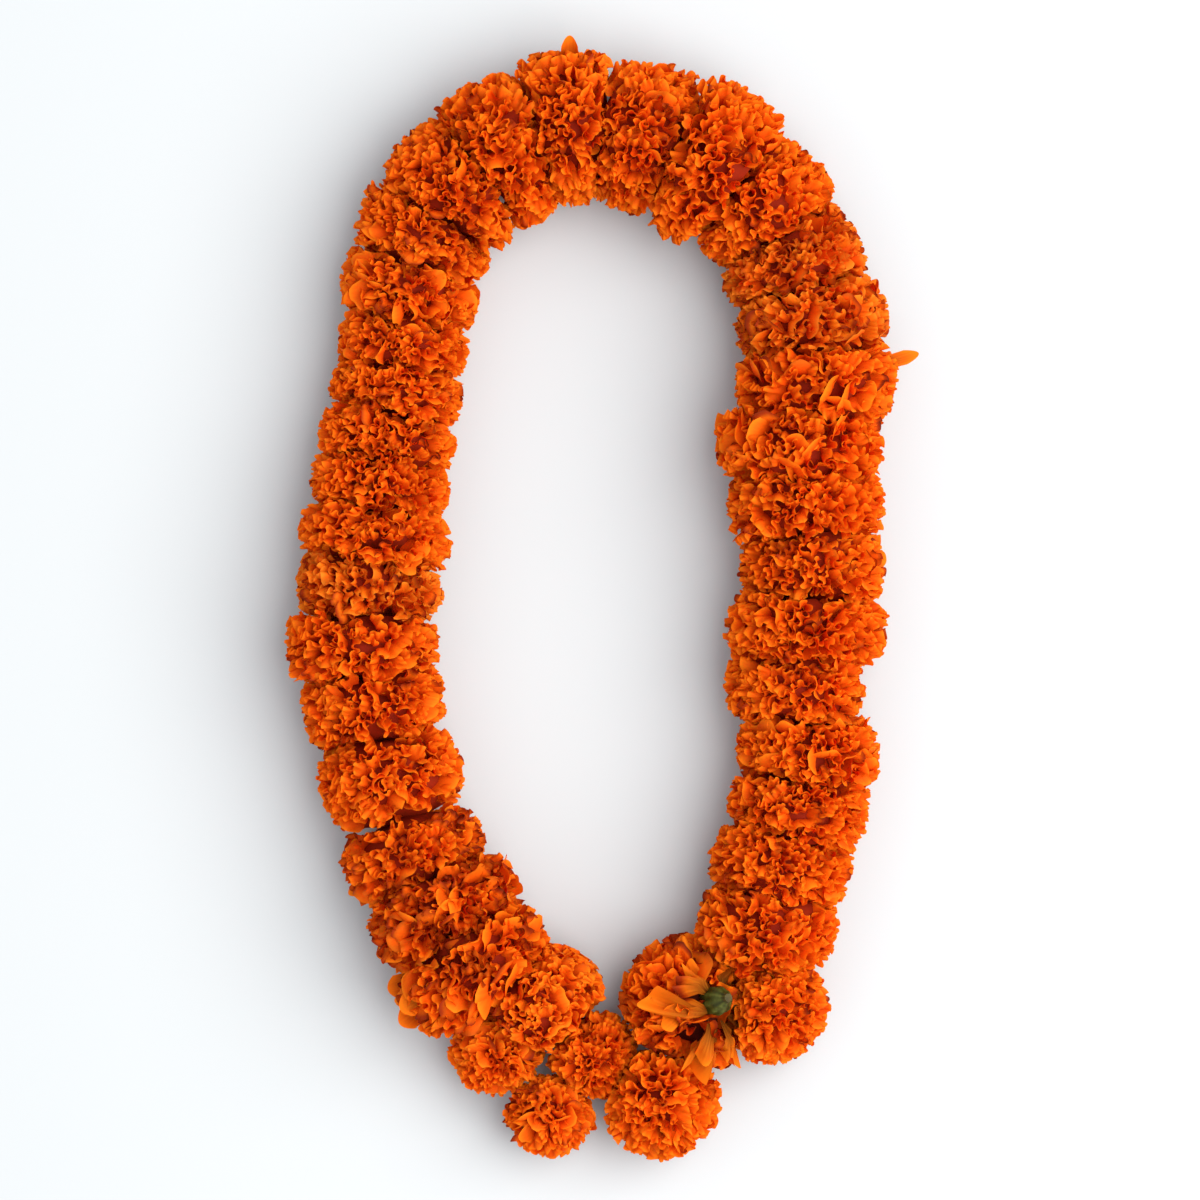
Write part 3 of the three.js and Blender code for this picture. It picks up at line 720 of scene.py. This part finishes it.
def petal_tree(material):
    """Geometry nodes that stand petals over a head's form, each pointing away from the head's middle."""
    group = bpy.data.node_groups.new("petals over a head", "GeometryNodeTree")
    face = group.interface
    face.new_socket("Geometry", in_out="INPUT", socket_type="NodeSocketGeometry")
    for name, kind in (("Shapes", "Collection"), ("First shape", "Int"), ("Last shape", "Int"),
                       ("Spacing", "Float"), ("Axis", "Vector"), ("Roll", "Float"),
                       ("Smallest", "Float"), ("Largest", "Float"), ("Wobble", "Float"),
                       ("Seed", "Int")):
        face.new_socket(name, in_out="INPUT", socket_type=f"NodeSocket{kind}")
    face.new_socket("Geometry", in_out="OUTPUT", socket_type="NodeSocketGeometry")

    tree = Tree(group)
    given = tree.add("NodeGroupInput").outputs
    cover = tree.add("GeometryNodeInputNamedAttribute", {"data_type": "FLOAT"}, {"Name": "exposure"})
    sites = tree.add("GeometryNodeDistributePointsOnFaces", {"distribute_method": "POISSON"}, {
        "Mesh": given["Geometry"], "Distance Min": given["Spacing"], "Density Max": TRIED_PLACES,
        "Density Factor": cover, "Seed": given["Seed"]})

    # A petal points outward with its inner face to the head's axis, then turns and leans at random.
    outward = tree.add("GeometryNodeInputPosition")
    upright = tree.add("FunctionNodeAlignRotationToVector", {"axis": "Z"}, {"Vector": outward})
    layered = tree.add("FunctionNodeAlignRotationToVector", {"axis": "Y", "pivot_axis": "Z"}, {
        "Rotation": upright, "Vector": given["Axis"]})

    def random_between(low, high, seed, kind="FLOAT"):
        node = tree.add("FunctionNodeRandomValue", {"data_type": kind})
        used = {"FLOAT": ("VALUE", (2, 3)), "INT": ("INT", (4, 5))}[kind]
        for index, value in zip(used[1], (low, high)):
            tree.feed(node.inputs[index], value)
        tree.feed(node.inputs["Seed"], tree.maths("ADD", given["Seed"], seed))
        return next(output for output in node.outputs if output.type == used[0])

    lowest_roll = tree.maths("MULTIPLY", given["Roll"], -1.0)
    spin = tree.add("FunctionNodeAxisAngleToRotation", inputs={
        "Axis": (0, 0, 1), "Angle": random_between(lowest_roll, given["Roll"], 11)})
    lean = tree.add("FunctionNodeAxisAngleToRotation", inputs={
        "Axis": (1, 0, 0), "Angle": random_between(-PETAL_LEAN, PETAL_LEAN, 12)})
    turned = tree.add("FunctionNodeRotateRotation", {"rotation_space": "LOCAL"}, {
        "Rotation": layered, "Rotate By": spin})
    leaning = tree.add("FunctionNodeRotateRotation", {"rotation_space": "LOCAL"}, {
        "Rotation": turned, "Rotate By": lean})

    toned = tree.add("GeometryNodeStoreNamedAttribute", {"data_type": "FLOAT", "domain": "POINT"}, {
        "Geometry": sites.outputs["Points"], "Name": "tone", "Value": random_between(0.0, 1.0, 13)})
    shapes = tree.add("GeometryNodeCollectionInfo", inputs={
        "Collection": given["Shapes"], "Separate Children": True, "Reset Children": True})
    standing = tree.add("GeometryNodeInstanceOnPoints", inputs={
        "Points": toned, "Instance": shapes, "Pick Instance": True,
        "Instance Index": random_between(given["First shape"], given["Last shape"], 14, "INT"),
        "Rotation": leaning,
        "Scale": random_between(given["Smallest"], given["Largest"], 15)})
    real = tree.add("GeometryNodeRealizeInstances", inputs={"Geometry": standing})

    # One noise pushes all the petals of a head out of shape together.
    noise = tree.add("ShaderNodeTexNoise", {"noise_dimensions": "4D"}, {
        "Vector": outward, "W": given["Seed"], "Scale": 60.0, "Detail": 0.0})
    centred = tree.add("ShaderNodeVectorMath", {"operation": "SUBTRACT"})
    tree.feed(centred.inputs[0], noise.outputs["Color"])
    tree.feed(centred.inputs[1], (0.5, 0.5, 0.5))
    pushed = tree.add("ShaderNodeVectorMath", {"operation": "SCALE"})
    tree.feed(pushed.inputs[0], centred)
    tree.feed(pushed.inputs["Scale"], given["Wobble"])
    moved = tree.add("GeometryNodeSetPosition", inputs={
        "Geometry": real, "Offset": pushed})
    painted = tree.add("GeometryNodeSetMaterial", inputs={
        "Geometry": moved, "Material": material})
    result = tree.add("NodeGroupOutput")
    tree.feed(result.inputs["Geometry"], painted)
    return group


def form_mesh(form, fineness):
    """The head's form as an even mesh round its middle: its corners, their directions and its faces."""
    ball = bmesh.new()
    bmesh.ops.create_icosphere(ball, subdivisions=fineness, radius=1)
    directions = unit(np.array([vert.co for vert in ball.verts]))
    faces = np.array([[vert.index for vert in face.verts] for face in ball.faces])
    ball.free()
    return directions * form.full_reach(directions)[:, None], directions, faces


def evaluated_petals(name, form, group, shapes, settings, seed):
    """Runs the petal nodes over one head's form and returns the petals' corner points and tones."""
    points, directions, faces = form_mesh(form, FORM_FINENESS)
    exposure = form.exposure(directions)
    mesh = bpy.data.meshes.new(name)
    mesh.from_pydata(points.tolist(), [], faces.tolist())
    store(mesh, "exposure", exposure)
    carrier = put_in_scene(name, mesh)
    # The less of its form a head has to cover, the closer its petals stand, and the smaller they are.
    sides = points[faces]
    area = np.linalg.norm(np.cross(sides[:, 1] - sides[:, 0], sides[:, 2] - sides[:, 0]), axis=1) / 2
    covered = float((area * exposure[faces].mean(1)).sum())
    spacing = PETAL_PACKING * math.sqrt(covered / settings.count)
    smallest, largest = (size * spacing / PETAL_SPACING for size in PETAL_SCALES)

    modifier = carrier.modifiers.new("petals", "NODES")
    modifier.node_group = group
    values = {"Shapes": shapes, "First shape": 0 if form.broad else BROAD_SHAPES - 1,
              "Last shape": settings.shapes - 1, "Spacing": spacing, "Axis": tuple(form.axis),
              "Roll": settings.roll, "Smallest": smallest, "Largest": largest,
              "Wobble": settings.wobble, "Seed": seed}
    for item in group.interface.items_tree:
        if item.name in values:
            modifier[item.identifier] = values[item.name]
    bpy.context.view_layer.update()
    evaluated = carrier.evaluated_get(bpy.context.evaluated_depsgraph_get())
    result = bpy.data.meshes.new_from_object(evaluated)
    bpy.data.objects.remove(carrier)
    bpy.data.meshes.remove(mesh)

    corners = corner_places(result).astype(float)
    tone = np.empty(len(result.vertices), np.float32)
    result.attributes["tone"].data.foreach_get("value", tone)
    bpy.data.meshes.remove(result)
    return corners, tone


def long_petal(form, tip, neck, end, settings, random):
    """A petal drawn out to a rounded tip that stands far beyond the head."""
    tip = tip - form.middle
    outward = unit(tip)
    sideways = unit(np.cross((0, 0, 1), outward))
    inner = np.cross(outward, sideways)
    length = np.linalg.norm(tip) - 0.55 * form.reach(outward[None])[0]
    along = GRID.grown
    reach = along * (1 - 0.2 * np.abs(GRID.across) ** 2)
    half = settings.width * (neck + (end - neck) * smooth((along - 0.45) / 0.4))
    bend = settings.ruffle * (np.sin(3 * along + random.uniform(0, 6)) + 0.7 * GRID.across ** 2)
    sheet = (tip + ((reach - 1) * length)[:, None] * outward
             + (half * GRID.across)[:, None] * sideways + bend[:, None] * inner)
    return thicken(sheet, np.broadcast_to(inner, sheet.shape), 1.6 * settings.thickness)


def build_head(name, form, group, shapes, settings, material, index):
    """One head: its petals and the core that they rise from, painted dark as the shade between them, in
    one mesh.
    """
    seed = settings.seed + 31 * index
    random = np.random.default_rng(seed)
    petals, tone = evaluated_petals(name + "_form", form, group, shapes, settings, seed)
    petals = form.press(petals)
    outer = np.zeros(len(petals))
    added = [long_petal(form, tip, *LONG_PETALS[name][1:], settings, random) for tip in form.tips]
    if form.back:
        added.append(back_petals(form, settings, random))
    if added:
        added = np.concatenate(added)
        shades = random.uniform(0.3, 1, len(added) // GRID.source.size)
        petals = np.concatenate([petals, added])
        tone = np.concatenate([tone, np.repeat(shades, GRID.source.size)])
        outer = np.concatenate([outer, np.ones(len(added))])
    count = len(petals) // GRID.source.size

    core, _, core_faces = form_mesh(form, CORE_FINENESS)
    lengthwise = (core @ form.axis)[:, None] * form.axis
    across, within = LOOSE_CORE, LOOSE_CORE
    if form.strung:
        across = STRUNG_CORE
        within = np.where(core @ form.axis > 0, form.far_end[1], COVERED_END[1])[:, None]
    core = (core - lengthwise) * across + lengthwise * within
    places = np.concatenate([petals, core]) + form.middle
    places[:, 2] = np.maximum(places[:, 2], FLOOR_GAP)
    faces = (GRID.faces[None] + np.arange(count)[:, None, None] * GRID.source.size).reshape(-1, 3)
    mesh = bpy.data.meshes.new(name + "_petals")
    mesh.from_pydata(places.tolist(), [], faces.tolist() + (core_faces + len(petals)).tolist())

    head_tone = random.uniform(0.15, 0.85)
    dried = random.uniform(size=count) < DRIED.get(name, FEW_DRIED)
    dried = np.repeat(dried * random.uniform(0.5, 1, count), GRID.source.size)
    for label, on_petals, on_core in (
            ("along", np.tile(GRID.along[GRID.source], count), 0),
            ("across", np.tile(GRID.across[GRID.source], count), 0),
            ("tone", 0.65 * tone + 0.35 * head_tone, 0.5),
            ("outer", outer, 1 if form.back else 0),
            ("dried", dried, 0)):
        store(mesh, label, np.concatenate([on_petals, np.full(len(core), on_core)]))
    lay_flat(mesh, count, len(core_faces))
    return new_piece(mesh, material, sharp=110)


def lay_flat(mesh, petals, core_faces):
    """Gives each petal, and each face of the core, a square of its own to be baked in."""
    left_over = 1.12     # so that the core's faces have room beside the petals
    side = math.ceil(math.sqrt(petals * left_over))
    cell = np.arange(petals)
    place = np.stack([cell % side, cell // side], -1)[:, None, None, :]
    petal_map = (place + GRID.flat[None]) / side
    # The core's faces share the strip over the rows that the petals have used.
    used = math.ceil(petals / side) / side
    fine = math.ceil(math.sqrt(core_faces / (1 - used) + 1))
    cell = np.arange(core_faces)
    place = np.stack([cell % fine / fine, used + (cell // fine) * (1 - used) / fine], -1)[:, None, :]
    corner = np.array([[0.1, 0.1], [0.9, 0.1], [0.1, 0.9]]) * [1 / fine, (1 - used) / fine]
    layer = mesh.uv_layers.new(name="OFBake")
    flat = np.concatenate([petal_map.reshape(-1, 2), (place + corner).reshape(-1, 2)])
    layer.data.foreach_set("uv", flat.ravel().astype(np.float32))


def petal_material(name, colours, withered):
    """Petals: painted shade towards their base where they sit deep in the head, ruddy or golden blades
    with a painted highlight at their tips, fine ribs lengthwise, some dried edges.
    """
    material, tree = new_material(name)
    along, across, tone = (tree.attribute(label) for label in ("along", "across", "tone"))
    outer = tree.attribute("outer")
    patches = tree.noise(tree.object_place(), 55.0, 2.0)
    streak_place = tree.add("ShaderNodeCombineXYZ", inputs={
        "X": tree.maths("MULTIPLY", across, 9.0), "Y": tree.maths("MULTIPLY", along, 1.6),
        "Z": tree.maths("MULTIPLY", tone, 90.0)})
    streaks = tree.noise(streak_place, 1.0, 3.0)

    mood = tree.maths("ADD", tree.maths("MULTIPLY", tone, 0.7), tree.maths("MULTIPLY", patches, 0.5))
    rich, pale = colours.fresh, colours.golden
    if withered:
        rich, pale = colours.golden, colours.withered
    blade = tree.ramp(mood, (0.3, colours.deep), (0.58, rich), (0.8, rich), (1.0, pale))
    streaked = tree.blend(tree.ramp(streaks, (0.35, 1), (0.62, 0)), blade, colours.deep)
    shaded = tree.blend(0.45, blade, streaked)
    # Painted highlight: the petal tips turn towards the pale colour.
    lit = tree.blend(tree.ramp(along, (0.86, 0), (1.0, 0.8)), shaded, pale)
    # Outer petals' bases: real stripes, made darker as painted shade of the hollows round the calyx.
    stripes_and_shade = tree.ramp(streaks, (0.45, (0.03, 0.01, 0.003)), (0.66, (0.27, 0.1, 0.007)))
    tube = tree.blend(outer, colours.throat_shade, stripes_and_shade)
    # The core's colour is painted shade, darker on a head seen from behind.
    core = tree.blend(outer, colours.core, colours.bare_core_shade)
    base = tree.blend(tree.ramp(along, (0.1, 0), (0.3, 1)), core, tube)
    # Painted shade: the deeper a part of a petal sits in the head, the more it takes its base colour.
    depth = tree.ramp(along, (0.3, 1), (0.6, 0.65), (0.85, 0.25), (0.97, 0))
    recess_shaded = tree.blend(depth, lit, base)
    rim = tree.ramp(along, (0.82, 0), (0.98, 1))
    spread = tree.ramp(patches, (0.35, 0.2), (0.6, 1))
    drying = tree.maths("MULTIPLY", tree.maths("MULTIPLY", tree.attribute("dried"), rim), spread)
    browned = tree.blend(tree.maths("MULTIPLY", drying, 2.0, clamp=True), recess_shaded, colours.browned)
    colour = tree.blend(tree.maths("POWER", drying, 1.5), browned, colours.dried)

    ribs = tree.bump(streaks, 0.35, 0.0006)
    reddened = tree.blend(1.0, colour, LIGHT_THROUGH_PETAL, "MULTIPLY")
    glow = tree.add("ShaderNodeBsdfTranslucent", inputs={"Color": reddened, "Normal": ribs})
    mixed = tree.add("ShaderNodeMixShader", inputs={"Fac": 0.46})
    tree.feed(mixed.inputs[1], tree.surface(colour, 0.62, 0.06, ribs))
    tree.feed(mixed.inputs[2], glow)
    tree.add("ShaderNodeOutputMaterial", inputs={"Surface": mixed})
    return material


class GARLAND_OT_heads(bpy.types.Operator):
    """Dress every marigold head with petals"""

    bl_idname = "garland.heads"
    bl_label = "Marigold heads"

    def execute(self, context):
        settings, colours = context.scene.garland_petals, context.scene.garland_colours
        materials = {slot: petal_material(name, colours, slot == "petal_amber")
                     for slot, name in PETAL_SLOTS.items()}
        shapes = petal_shapes(settings)
        group = petal_tree(materials["petal_orange"])
        for index, (name, form) in enumerate(sorted(head_forms().items())):
            slot = slot_of(name)
            piece = build_head(name, form, group, shapes, settings, materials[slot], index)
            finish_piece(piece, name)
        for shape in list(shapes.objects):
            bpy.data.objects.remove(shape)
        bpy.data.collections.remove(shapes)
        bpy.data.node_groups.remove(group)
        return {"FINISHED"}


# ---- calyxes and thread ----


def green_material(colours):
    """Calyxes: olive green, paler on their ribs, and brown at the teeth and the cut stem."""
    material, tree = new_material("calyx green")
    patches = tree.noise(tree.object_place(), 320.0, 3.0)
    dark = [0.45 * channel for channel in colours.calyx]
    pale = [min(1, 2.0 * channel + 0.008) for channel in colours.calyx]
    raised = tree.maths("ADD", tree.maths("MULTIPLY", tree.attribute("rib"), 0.1), patches)
    colour = tree.ramp(raised, (0.3, dark), (0.52, colours.calyx), (0.78, pale))
    browned = tree.ramp(tree.attribute("along"), (0.0, 1), (0.16, 0), (0.85, 0), (1.0, 0.8))
    worn = tree.blend(tree.maths("MULTIPLY", browned, patches), colour, colours.calyx_worn)
    leaf = tree.surface(worn, 0.5, 0.2, tree.bump(patches, 0.4, 0.0005))
    tree.add("ShaderNodeOutputMaterial", inputs={"Surface": leaf})
    return material


def cotton_material(colours):
    """Thread: undyed cotton, with painted shade in the fine gaps between its fibres."""
    material, tree = new_material("thread cotton")
    fibres = tree.noise(tree.object_place(), 1800.0, 4.0)
    dark = [0.55 * channel for channel in colours.cotton]
    colour = tree.ramp(fibres, (0.35, dark), (0.6, colours.cotton))
    cotton = tree.surface(colour, 0.9, 0.2, tree.bump(fibres, 0.6, 0.0003))
    tree.add("ShaderNodeOutputMaterial", inputs={"Surface": cotton})
    return material


def build_calyx(node, settings, material, index):
    """A ribbed cup on a head's back, with teeth round its rim, that narrows to its cut stem."""
    points = node_points(node)
    middle = points.mean(0)
    axis = unit(middle - node_points(node.replace("calyx", "bloom")).mean(0))
    height = (points - middle) @ axis
    radius = np.linalg.norm(points - middle - height[:, None] * axis, axis=1).max()
    sideways, upward = axes_across(axis)
    random = np.random.default_rng(settings.seed + index)
    phase = random.uniform(0, 2 * math.pi)

    around = np.linspace(0, 2 * math.pi, settings.ribs * RIB_CORNERS, endpoint=False)
    rib = np.cos(settings.ribs * around + phase)
    rows = []
    for place, share in CALYX_PROFILE:
        ribbed = 1 + settings.rib_height * rib * smooth((0.75 - place) / 0.3)
        tooth = settings.tooth * np.clip(-rib, -1, 1) * smooth((0.3 - place) / 0.3)
        level = height.min() + (height.max() - height.min()) * place + tooth
        spread = radius * share * ribbed
        rows.append(middle + level[:, None] * axis
                    + (spread * np.cos(around))[:, None] * sideways
                    + (spread * np.sin(around))[:, None] * upward)
    count = len(around)
    corners = np.concatenate([*rows, [rows[0].mean(0), rows[-1].mean(0)]])
    faces = tube_faces(len(rows), count)[:-1].reshape(-1, 4).tolist()
    base, tip, top = len(corners) - 2, len(corners) - 1, (len(rows) - 1) * count
    neighbours = [(i, (i + 1) % count) for i in range(count)]
    faces += [(base, after, here) for here, after in neighbours]
    faces += [(tip, top + here, top + after) for here, after in neighbours]
    mesh = bpy.data.meshes.new(node + "_cup")
    mesh.from_pydata(corners.tolist(), [], faces)
    fill = bmesh.new()
    fill.from_mesh(mesh)
    bmesh.ops.recalc_face_normals(fill, faces=fill.faces)
    fill.to_mesh(mesh)
    fill.free()
    places = np.repeat([place for place, _ in CALYX_PROFILE], count)
    store(mesh, "along", np.concatenate([places, [0, 1]]))
    store(mesh, "rib", np.concatenate([np.tile(rib, len(rows)), [0, 0]]))
    return new_piece(mesh, material, sharp=60)


class GARLAND_OT_calyxes(bpy.types.Operator):
    """Make the green calyxes"""

    bl_idname = "garland.calyxes"
    bl_label = "Calyxes"

    def execute(self, context):
        settings = context.scene.garland_calyxes
        green = green_material(context.scene.garland_colours)
        for index, name in enumerate(sorted(frame["nodes"])):
            if name.startswith("calyx"):
                finish_piece(build_calyx(name, settings, green, index), name)
        return {"FINISHED"}


def thread_route():
    """The middles and radii of the rings that the thread's node is made of, in order round its loop."""
    mesh = frame["nodes"]["thread"].data
    points, index = np.unique(corner_places(mesh).round(6), axis=0, return_inverse=True)
    loops = np.empty(len(mesh.loops), int)
    mesh.loops.foreach_get("vertex_index", loops)
    joined = [set() for _ in points]
    for triangle in index.ravel()[loops].reshape(-1, 3).tolist():
        for corner in triangle:
            joined[corner].update(triangle)

    # The first ring is the one that lies farthest from the rings beside it. Its faces lead to both of
    # those: one comes next and the other one last.
    apart = np.linalg.norm(points[:, None] - points[None], axis=-1)
    start = int(np.sort(apart, axis=1)[:, THREAD_SIDES].argmax())
    rings = [set(np.argsort(apart[start])[:THREAD_SIDES].tolist())]
    beside = set().union(*(joined[corner] for corner in rings[0])) - rings[0]
    near = apart[min(beside)]
    rings.append({corner for corner in beside if near[corner] < np.median(near[list(beside)])})
    last = beside - rings[1]
    seen = rings[0] | beside
    while rings[-1]:
        rings.append(set().union(*(joined[corner] for corner in rings[-1])) - seen)
        seen |= rings[-1]
    rings[-1] = last
    middles = np.array([points[sorted(ring)].mean(0) for ring in rings])
    radii = [np.linalg.norm(points[sorted(ring)] - middle, axis=1).min()
             for ring, middle in zip(rings, middles)]
    return middles.astype(float), np.array(radii)


def build_thread(settings, material):
    """One closed loop of twisted thread along the thread's node, thicker at its knot."""
    middles, radii = thread_route()
    ends = np.concatenate([middles, middles[:1]])
    place = np.concatenate([[0], np.cumsum(np.linalg.norm(np.diff(ends, axis=0), axis=1))])
    count = math.ceil(place[-1] / settings.step)
    where = np.linspace(0, place[-1], count, endpoint=False)
    route = np.stack([np.interp(where, place, ends[:, i]) for i in range(3)], -1)
    radius = np.interp(where, place, np.append(radii, radii[0]))
    along = unit(np.roll(route, -1, 0) - np.roll(route, 1, 0))
    sideways = unit(np.stack([along[:, 1], -along[:, 0], np.zeros(count)], -1))
    upright = np.cross(along, sideways)

    sides = PLY_CORNERS * settings.plies
    around = 2 * math.pi * np.arange(sides) / sides
    turns = round(place[-1] / settings.pitch)
    twist = 2 * math.pi * turns * np.arange(count) / count
    lobes = 1 - PLY_GROOVE + PLY_GROOVE * np.cos(settings.plies * (around[None] - twist[:, None]))
    spread = (radius[:, None] * lobes)[..., None]
    rings = (route[:, None] + spread * (np.cos(around)[None, :, None] * sideways[:, None]
                                        + np.sin(around)[None, :, None] * upright[:, None]))
    mesh = bpy.data.meshes.new("thread_twisted")
    mesh.from_pydata(rings.reshape(-1, 3).tolist(), [], tube_faces(count, sides).reshape(-1, 4).tolist())
    return new_piece(mesh, material)


class GARLAND_OT_thread(bpy.types.Operator):
    """Twist the cotton thread"""

    bl_idname = "garland.thread"
    bl_label = "Thread"

    def execute(self, context):
        scene = context.scene
        cotton = cotton_material(scene.garland_colours)
        finish_piece(build_thread(scene.garland_thread, cotton), "thread")
        return {"FINISHED"}


# ---- the stage ----


def plain_material(name, colour, roughness):
    material = bpy.data.materials.new(name)
    material.use_nodes = True
    surface = material.node_tree.nodes["Principled BSDF"]
    surface.inputs["Base Color"].default_value = (*colour, 1)
    surface.inputs["Roughness"].default_value = roughness
    return material


def add_light(name, place, side, power, colour):
    """A square lamp that looks at the garland's middle."""
    light = bpy.data.lights.new(name, "AREA")
    light.size = side
    light.energy = power
    light.color = colour
    lamp = put_in_scene(name, light)
    lamp.location = place
    lamp.rotation_euler = (-lamp.location).to_track_quat("-Z", "Y").to_euler()


class GARLAND_OT_stage(bpy.types.Operator):
    """Set the floor, the lights and the camera that looks down"""

    bl_idname = "garland.stage"
    bl_label = "Stage"

    def execute(self, context):
        scene = context.scene
        stage, colours = scene.garland_stage, scene.garland_colours
        half = stage.floor_size / 2
        mesh = bpy.data.meshes.new("floor")
        mesh.from_pydata([(-half, -half, 0), (half, -half, 0), (half, half, 0), (-half, half, 0)], [],
                         [(0, 1, 2, 3)])
        mesh.materials.append(plain_material("floor white", colours.floor, 0.9))
        floor = put_in_scene("floor", mesh)

        add_light("key from the right", KEY_PLACE, KEY_SIDE, stage.key, KEY_COLOUR)
        add_light("fill from the left", FILL_PLACE, FILL_SIDE, stage.fill, FILL_COLOUR)
        world = bpy.data.worlds.new("soft sky")
        world.use_nodes = True
        backdrop = world.node_tree.nodes["Background"]
        backdrop.inputs["Color"].default_value = (*SKY_COLOUR, 1)
        backdrop.inputs["Strength"].default_value = stage.sky
        scene.world = world
        scene.view_settings.view_transform = "Standard"

        low, high = CAD_BOX
        mid_height = (high.z - low.z) / 2
        camera = bpy.data.cameras.new("looking down")
        camera.sensor_width = SENSOR_WIDTH
        camera.lens = SENSOR_WIDTH * (stage.camera_height - mid_height) / stage.view_width
        camera.clip_end = stage.camera_height + stage.floor_size
        scene.camera = put_in_scene("looking down", camera)
        scene.camera.location = ((low.x + high.x) / 2, (low.y + high.y) / 2, stage.camera_height)
        return {"FINISHED"}


# ---- the add-on ----


class GARLAND_PT_panel(bpy.types.Panel):
    """Lists the garland's pieces and their settings"""

    bl_idname = "GARLAND_PT_panel"
    bl_label = "Marigold Garland"
    bl_space_type = "VIEW_3D"
    bl_region_type = "UI"
    bl_category = "Garland"

    def draw(self, context):
        for group in GROUPS:
            box = self.layout.box()
            settings = getattr(context.scene, group)
            for name in settings.bl_rna.properties.keys():
                if name not in ("rna_type", "name"):
                    box.prop(settings, name)
        for operator in OPERATORS:
            self.layout.operator(operator.bl_idname)


GROUPS = {
    "garland_petals": PetalSettings,
    "garland_calyxes": CalyxSettings,
    "garland_thread": ThreadSettings,
    "garland_colours": ColourSettings,
    "garland_stage": StageSettings,
}
OPERATORS = (GARLAND_OT_stage, GARLAND_OT_heads, GARLAND_OT_calyxes, GARLAND_OT_thread)


def register():
    for name, group in GROUPS.items():
        bpy.utils.register_class(group)
        setattr(bpy.types.Scene, name, bpy.props.PointerProperty(type=group))
    for kind in (*OPERATORS, GARLAND_PT_panel):
        bpy.utils.register_class(kind)


def unregister():
    for kind in reversed((*OPERATORS, GARLAND_PT_panel)):
        bpy.utils.unregister_class(kind)
    for name, group in GROUPS.items():
        delattr(bpy.types.Scene, name)
        bpy.utils.unregister_class(group)


def main():
    register()
    bpy.ops.garland.stage()
    bpy.ops.garland.heads()
    bpy.ops.garland.calyxes()
    bpy.ops.garland.thread()


if __name__ == "__main__":
    main()
